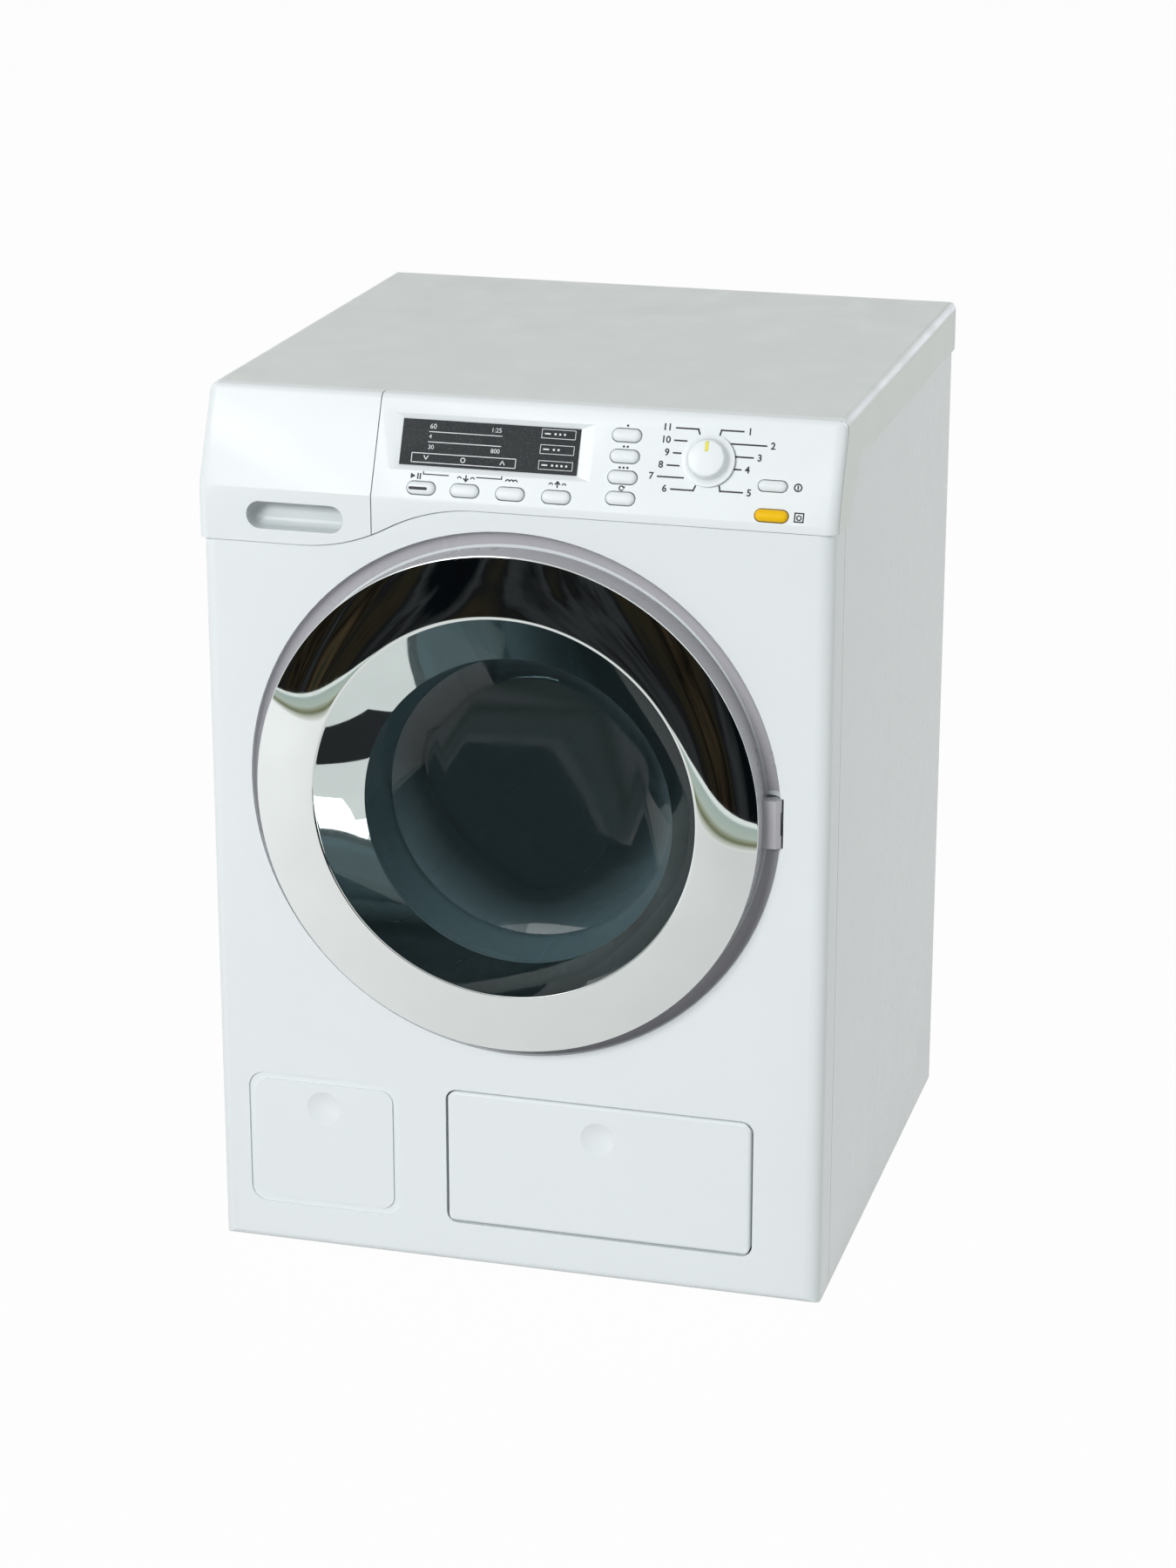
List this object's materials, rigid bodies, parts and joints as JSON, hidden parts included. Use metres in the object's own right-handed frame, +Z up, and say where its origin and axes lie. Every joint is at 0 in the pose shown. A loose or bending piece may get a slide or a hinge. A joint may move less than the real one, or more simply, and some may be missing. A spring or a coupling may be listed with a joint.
{
  "type": "toy washing machine",
  "caption": "Toy front-loading washing machine: hinged porthole door with a clear bowl, turning drum, dial, push buttons, detergent drawer and drain tray.",
  "frame": {"origin": "centre of the overall box at table level, on the plane of the feet", "axes": "+Z up, -Y out of the front with the door, +X to the right of someone facing the front"},
  "size_m": [0.1856, 0.1914, 0.262],
  "materials": {
    "frame_grey": "satin violet-grey ABS",
    "white_shell": "glossy white ABS",
    "lid_shell": "satin grey-white ABS",
    "inner_plastic": "plain grey-white plastic",
    "chrome_trim": "mirror chrome plating on plastic",
    "smoked_window": "clear smoke-blue polystyrene",
    "display_foil": "dark foil with pale plain marks",
    "drum_plastic": "dark grey plastic",
    "steel": "zinc-plated steel",
    "yellow_plastic": "glossy yellow plastic",
    "board_green": "green board lacquer",
    "rubber": "grey silicone",
    "brass": "plain brass",
    "nylon": "natural nylon",
    "black_plastic": "black plastic"
  },
  "bodies": {
    "casing": {"front_panel": "white_shell", "rear_housing": "white_shell", "top_cover": "lid_shell", "base_plate": "lid_shell", "back_cover": "lid_shell", "feet": "rubber", "case_screws": "steel", "fascia": "white_shell", "display_window": "display_foil", "control_board": "board_green", "button_keypad": "rubber", "board_screws": "steel", "dial_switch": "black_plastic", "drawer_guide": "inner_plastic", "tray_sleeve": "inner_plastic", "hinge_bracket": "white_shell", "hinge_screws": "steel", "catch_clip": "steel", "tub": "inner_plastic", "tub_cradle": "inner_plastic", "shaft_bush": "brass", "motor": "steel", "motor_bracket": "steel", "battery_box": "inner_plastic", "battery_contacts": "steel", "battery_cover": "lid_shell", "speaker": "black_plastic", "wire_harness": "black_plastic"},
    "door": {"door_frame": "frame_grey", "door_ring": "chrome_trim", "door_glass": "smoked_window", "glass_clamp": "white_shell", "clamp_screws": "steel", "door_hook": "white_shell", "hinge_pin": "steel"},
    "drum": {"drum": "drum_plastic", "drum_shaft": "steel", "drum_gear": "nylon", "shaft_clip": "steel"},
    "rotor": {"motor_pinion": "brass"},
    "drawer": {"drawer_front": "white_shell", "drawer_tray": "inner_plastic"},
    "drain_tray": {"tray_front": "white_shell", "tray_box": "inner_plastic"},
    "dial": {"dial": "white_shell", "dial_pointer": "yellow_plastic", "dial_shaft": "steel"},
    "start_button_body": {"start_button": "white_shell"},
    "water_in_button_body": {"water_in_button": "white_shell"},
    "wash_button_body": {"wash_button": "white_shell"},
    "water_out_button_body": {"water_out_button": "white_shell"},
    "option_button_1_body": {"option_button_1": "white_shell"},
    "option_button_2_body": {"option_button_2": "white_shell"},
    "option_button_3_body": {"option_button_3": "white_shell"},
    "spin_button_body": {"spin_button": "white_shell"},
    "power_button_body": {"power_button": "white_shell"},
    "door_button_body": {"door_button": "yellow_plastic"}
  },
  "joints": [
    {"name": "door_hinge", "type": "hinge", "parent": "casing", "child": "door", "pos_m": [0.0766, -0.0851, 0.1485], "axis": [0, 0, 1], "range_deg": [0, 90]},
    {"name": "drum_spin", "type": "hinge", "parent": "casing", "child": "drum", "pos_m": [0, 0.0507, 0.1429], "axis": [0, 1, 0], "continuous": true},
    {"name": "rotor_spin", "type": "hinge", "parent": "casing", "child": "rotor", "pos_m": [-0.03712, 0.0602, 0.10578], "axis": [0, 1, 0], "continuous": true},
    {"name": "drawer_slide", "type": "slide", "parent": "casing", "child": "drawer", "axis": [0, -1, 0], "range_m": [0, 0.05]},
    {"name": "drain_tray_slide", "type": "slide", "parent": "casing", "child": "drain_tray", "axis": [0, -1, 0], "range_m": [0, 0.055]},
    {"name": "dial_turn", "type": "hinge", "parent": "casing", "child": "dial", "pos_m": [0.0554, -0.07951, 0.2499], "axis": [0, -0.9135, 0.4067], "continuous": true},
    {"name": "start_press", "type": "slide", "parent": "casing", "child": "start_button_body", "axis": [0, 0.9135, -0.4067], "range_m": [0, 0.0008], "stiffness_N_per_m": 300, "springref_m": -0.001},
    {"name": "water_in_press", "type": "slide", "parent": "casing", "child": "water_in_button_body", "axis": [0, 0.9135, -0.4067], "range_m": [0, 0.0008], "stiffness_N_per_m": 300, "springref_m": -0.001},
    {"name": "wash_press", "type": "slide", "parent": "casing", "child": "wash_button_body", "axis": [0, 0.9135, -0.4067], "range_m": [0, 0.0008], "stiffness_N_per_m": 300, "springref_m": -0.001},
    {"name": "water_out_press", "type": "slide", "parent": "casing", "child": "water_out_button_body", "axis": [0, 0.9135, -0.4067], "range_m": [0, 0.0008], "stiffness_N_per_m": 300, "springref_m": -0.001},
    {"name": "option_1_press", "type": "slide", "parent": "casing", "child": "option_button_1_body", "axis": [0, 0.9135, -0.4067], "range_m": [0, 0.0008], "stiffness_N_per_m": 300, "springref_m": -0.001},
    {"name": "option_2_press", "type": "slide", "parent": "casing", "child": "option_button_2_body", "axis": [0, 0.9135, -0.4067], "range_m": [0, 0.0008], "stiffness_N_per_m": 300, "springref_m": -0.001},
    {"name": "option_3_press", "type": "slide", "parent": "casing", "child": "option_button_3_body", "axis": [0, 0.9135, -0.4067], "range_m": [0, 0.0008], "stiffness_N_per_m": 300, "springref_m": -0.001},
    {"name": "spin_press", "type": "slide", "parent": "casing", "child": "spin_button_body", "axis": [0, 0.9135, -0.4067], "range_m": [0, 0.0008], "stiffness_N_per_m": 300, "springref_m": -0.001},
    {"name": "power_press", "type": "slide", "parent": "casing", "child": "power_button_body", "axis": [0, 0.9135, -0.4067], "range_m": [0, 0.0008], "stiffness_N_per_m": 300, "springref_m": -0.001},
    {"name": "door_press", "type": "slide", "parent": "casing", "child": "door_button_body", "axis": [0, 0.9135, -0.4067], "range_m": [0, 0.0008], "stiffness_N_per_m": 300, "springref_m": -0.001}
  ],
  "couplings": [
    {"joint": "rotor_spin", "follows": "drum_spin", "ratio": -6}
  ]
}
